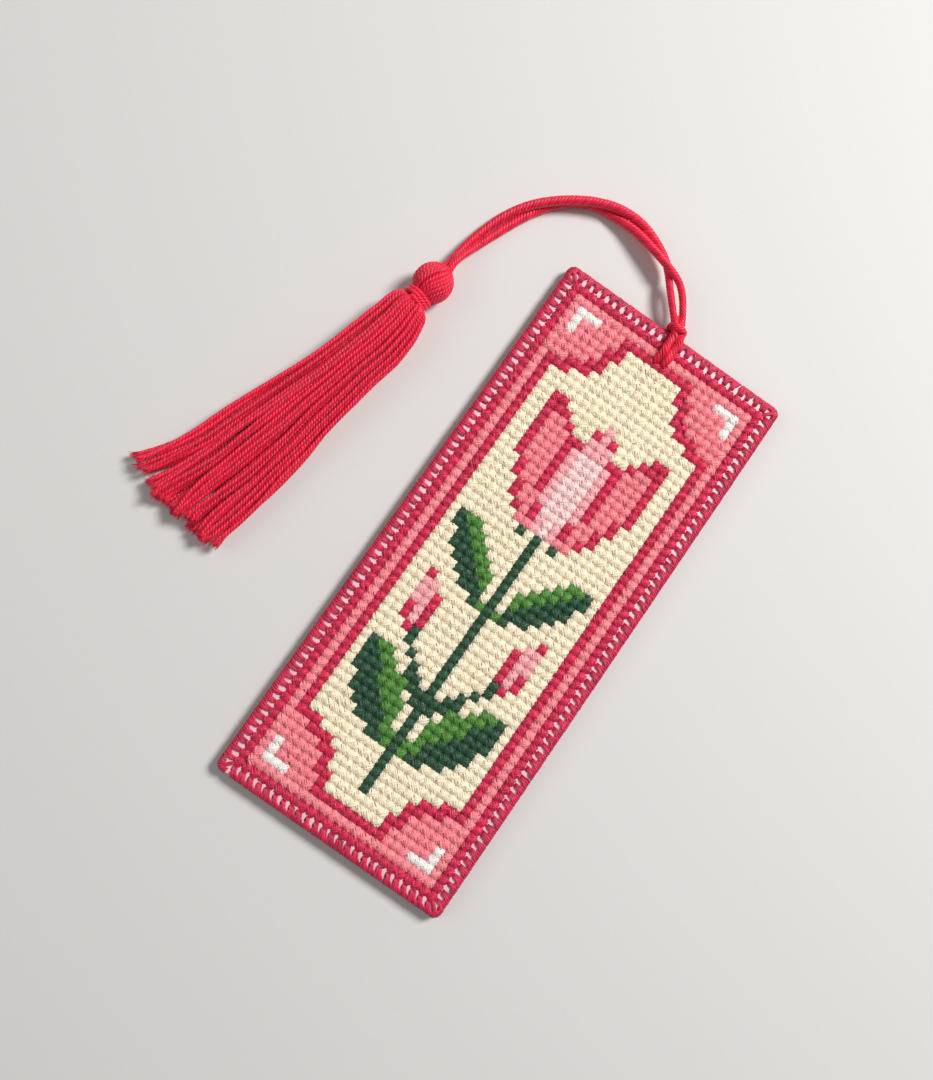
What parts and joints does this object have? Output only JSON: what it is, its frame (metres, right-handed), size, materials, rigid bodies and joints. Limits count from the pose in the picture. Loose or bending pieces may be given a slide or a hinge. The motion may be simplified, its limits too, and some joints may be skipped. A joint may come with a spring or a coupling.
{
  "type": "tasselled bookmark",
  "caption": "Flat cross-stitched canvas bookmark with an overcast edge, felt back and a tassel that swings on a doubled cord hitched through its top edge.",
  "frame": {"origin": "middle of the felt's flat back, which lies on the table", "axes": "+X to the right of the stitched face, +Y along the panel towards the cord and tassel, +Z out of the stitched face"},
  "size_m": [0.0954, 0.133, 0.0074],
  "materials": {
    "thread_crimson": "twisted cotton thread with a soft sheen",
    "thread_light_coral": "twisted cotton thread with a soft sheen",
    "thread_coral": "twisted cotton thread with a soft sheen",
    "thread_white": "twisted cotton thread with a soft sheen",
    "thread_cream": "twisted cotton thread with a soft sheen",
    "thread_light_pink": "twisted cotton thread with a soft sheen",
    "thread_pale_pink": "twisted cotton thread with a soft sheen",
    "thread_dark_green": "twisted cotton thread with a soft sheen",
    "thread_leaf_green": "twisted cotton thread with a soft sheen",
    "felt_crimson": "pressed wool felt",
    "cord_red": "twisted cotton thread with a soft sheen",
    "canvas_plastic": "moulded plastic mesh, slightly glossy"
  },
  "bodies": {
    "panel": {"felt_backing": "felt_crimson", "front_canvas": "canvas_plastic", "overcast_edging": "thread_crimson", "cord_hitch": "cord_red", "outer_frame_stitches": "thread_crimson", "inner_frame_stitches": "thread_crimson", "petal_outline_stitches": "thread_crimson", "frame_stripe_stitches": "thread_light_coral", "corner_panel_stitches": "thread_coral", "petal_middle_stitches": "thread_coral", "corner_accent_stitches": "thread_white", "ground_stitches": "thread_cream", "petal_light_stitches": "thread_light_pink", "petal_heart_stitches": "thread_pale_pink", "leaf_dark_stitches": "thread_dark_green", "stem_stitches": "thread_dark_green", "leaf_light_stitches": "thread_leaf_green"},
    "cord": {"hanging_cord": "cord_red"},
    "tassel": {"tassel_head": "cord_red", "neck_binding": "cord_red", "skirt_strands": "cord_red"}
  },
  "joints": [
    {"name": "cord_swing", "type": "hinge", "parent": "panel", "child": "cord", "pos_m": [0, 0.06168, 0], "axis": [0, 0, 1], "range_deg": [-60, 6]},
    {"name": "tassel_swing", "type": "hinge", "parent": "cord", "child": "tassel", "pos_m": [-0.04378, 0.04075, 0], "axis": [0, 0, 1], "range_deg": [-38, 8]}
  ]
}
